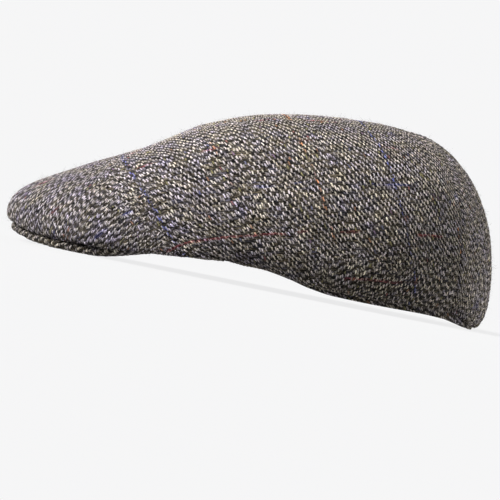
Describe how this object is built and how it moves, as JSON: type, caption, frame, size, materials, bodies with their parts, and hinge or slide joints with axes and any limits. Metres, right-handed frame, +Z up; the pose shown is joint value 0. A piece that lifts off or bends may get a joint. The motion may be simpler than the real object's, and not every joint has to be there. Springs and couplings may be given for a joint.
{
  "type": "flat cap",
  "caption": "Soft tweed flat cap with a sloping one-piece crown, a tongue-shaped back panel, a short stiff peak and a narrow cloth band round the head opening.",
  "frame": {"origin": "on the surface that the cap rests on, under the middle of its length and width", "axes": "+Z up, -Y towards the front of the peak, +X towards the wearer's left; the cap is symmetric about X = 0"},
  "size_m": [0.1878, 0.284, 0.1063],
  "materials": {
    "crown_tweed": "coarse grey wool tweed with light flecks, a faint coloured overcheck and a hairy surface",
    "back_tweed": "the same tweed, cut with its ribs upright",
    "peak_tweed": "the same tweed, stretched over the peak's edge",
    "band_tweed": "the same tweed, turned under as a narrow hem"
  },
  "bodies": {
    "root": {"crown": "crown_tweed", "back_panel": "back_tweed", "peak": "peak_tweed", "head_band": "band_tweed"}
  },
  "joints": []
}
